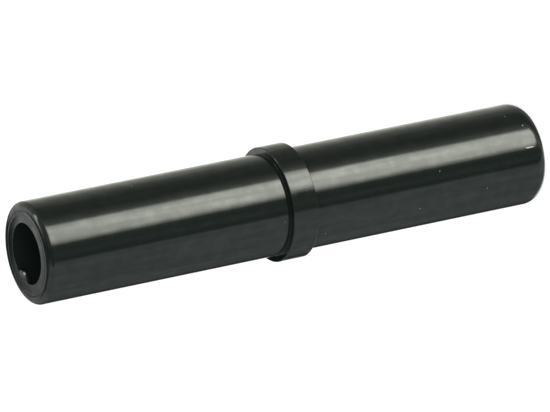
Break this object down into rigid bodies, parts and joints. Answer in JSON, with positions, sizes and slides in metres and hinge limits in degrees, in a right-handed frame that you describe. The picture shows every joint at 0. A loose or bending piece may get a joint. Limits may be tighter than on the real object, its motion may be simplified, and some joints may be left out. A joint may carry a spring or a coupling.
{
  "type": "extension pipe",
  "caption": "Short straight tube in one glossy black moulding, with a stop collar in the middle and an equal round-nosed spigot on each side.",
  "frame": {"origin": "on the pipe's axis, at the middle of the collar", "axes": "+Z along the pipe's axis, from the lower end that it stands on to the upper end with the gate's remains; +X and +Y lie across it, with the gate at 121.5 degrees from +X towards +Y"},
  "size_m": [0.0135, 0.0134, 0.0652],
  "materials": {
    "moulded_black": "glossy moulded plastic with faint lengthwise draw lines"
  },
  "bodies": {
    "root": {"extension_pipe": "moulded_black"}
  },
  "joints": []
}
